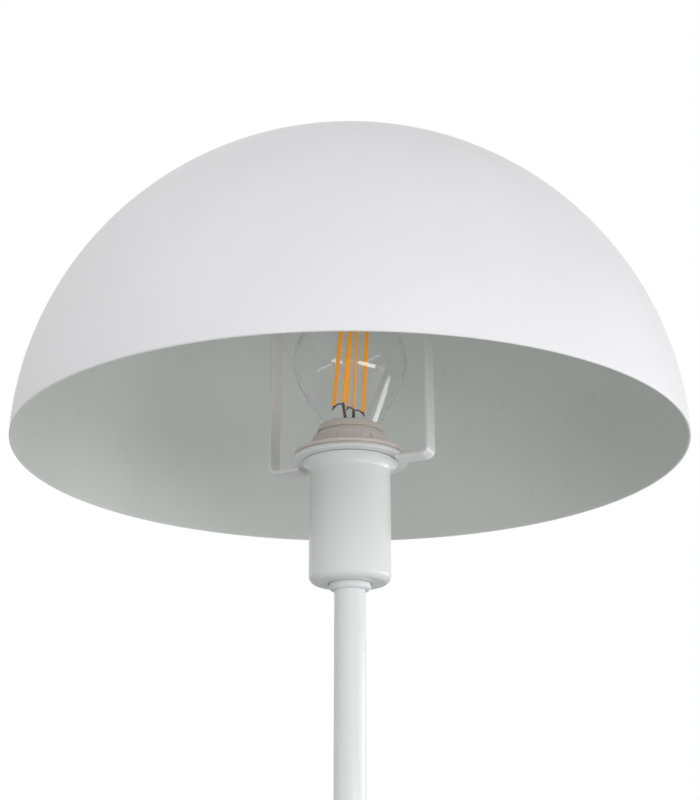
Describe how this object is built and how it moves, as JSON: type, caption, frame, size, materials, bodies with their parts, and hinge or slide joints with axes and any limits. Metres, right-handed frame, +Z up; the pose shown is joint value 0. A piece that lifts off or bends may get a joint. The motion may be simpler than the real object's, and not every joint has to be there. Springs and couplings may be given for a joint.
{
  "type": "bedside table lamp",
  "caption": "Bedside table lamp with a weighted round base, slim stem, hemispherical white metal shade on a flat bracket, and a clear screw-in filament bulb.",
  "frame": {"origin": "centre of the underside of the base, on the table", "axes": "+Z up along the stem, +Y towards the cord inlet at the back, X along the two arms of the bracket"},
  "size_m": [0.26, 0.26, 0.4198],
  "materials": {
    "white_paint": "matt powder coat",
    "beige_plastic": "moulded, satin",
    "clear_glass": "clear, polished",
    "amber_phosphor": "phosphor gel, satin",
    "dark_wire": "drawn, dull",
    "nickel_cap": "rolled, bright nickel",
    "black_insulator": "glossy",
    "solder": "soft sheen",
    "green_board": "satin",
    "zinc_steel": "zinc plated",
    "brass": "pressed, plain",
    "cast_iron": "as cast",
    "black_foam": "matt foam",
    "white_nylon": "moulded, satin",
    "brown_sheath": "satin",
    "blue_sheath": "satin",
    "earth_sheath": "satin"
  },
  "bodies": {
    "stand": {"base_pad": "black_foam", "bottom_plate": "zinc_steel", "plate_screws": "zinc_steel", "base_weight": "cast_iron", "base_cover": "white_paint", "cord_gland": "white_nylon", "gland_nut": "white_nylon", "terminal_block": "white_nylon", "terminal_sleeves": "brass", "terminal_screws": "zinc_steel", "block_screws": "zinc_steel", "earth_tag": "zinc_steel", "earth_lead": "earth_sheath", "live_lead": "brown_sheath", "neutral_lead": "blue_sheath", "lower_nipple": "zinc_steel", "lock_washer": "zinc_steel", "stem_nut": "zinc_steel", "stem_tube": "white_paint", "stem_collar": "white_paint", "upper_nipple": "zinc_steel", "cup_nut": "zinc_steel", "socket_cup": "white_paint", "holder_cap": "beige_plastic", "holder_body": "beige_plastic", "holder_insert": "beige_plastic", "thread_shell": "brass", "centre_contact": "brass", "wire_clamps": "brass", "clamp_screws": "zinc_steel"},
    "clamp_plate": {"bracket_ring": "white_paint"},
    "screw_ring": {"shade_ring": "beige_plastic"},
    "shade": {"shade_dome": "white_paint", "shade_bracket": "white_paint", "crown_stud": "zinc_steel", "crown_washer": "zinc_steel", "crown_nut": "zinc_steel"},
    "bulb_globe": {"bulb_glass": "clear_glass"},
    "bulb_core": {"bulb_cap": "nickel_cap", "cap_insulator": "black_insulator", "cap_contact": "solder", "bulb_stem": "clear_glass", "bulb_driver": "green_board", "bulb_filaments": "amber_phosphor", "bulb_wires": "dark_wire"}
  },
  "joints": [
    {"name": "shade_lift", "type": "slide", "parent": "stand", "child": "clamp_plate", "axis": [0, 0, 1], "range_m": [0, 0.006]},
    {"name": "shade_ring_turn", "type": "hinge", "parent": "clamp_plate", "child": "screw_ring", "pos_m": [0, 0, 0.2898], "axis": [0, 0, 1], "range_deg": [0, 1080]},
    {"name": "shade_swivel", "type": "hinge", "parent": "clamp_plate", "child": "shade", "pos_m": [0, 0, 0.2898], "axis": [0, 0, 1], "continuous": true},
    {"name": "bulb_lift", "type": "slide", "parent": "stand", "child": "bulb_globe", "axis": [0, 0, 1], "range_m": [0, 0.01411]},
    {"name": "bulb_turn", "type": "hinge", "parent": "bulb_globe", "child": "bulb_core", "pos_m": [0, 0, 0.2898], "axis": [0, 0, 1], "range_deg": [0, 1800]}
  ],
  "couplings": [
    {"joint": "shade_ring_turn", "follows": "shade_lift", "rad_per_m": 3141.6},
    {"joint": "bulb_turn", "follows": "bulb_lift", "rad_per_m": 2226.5}
  ]
}
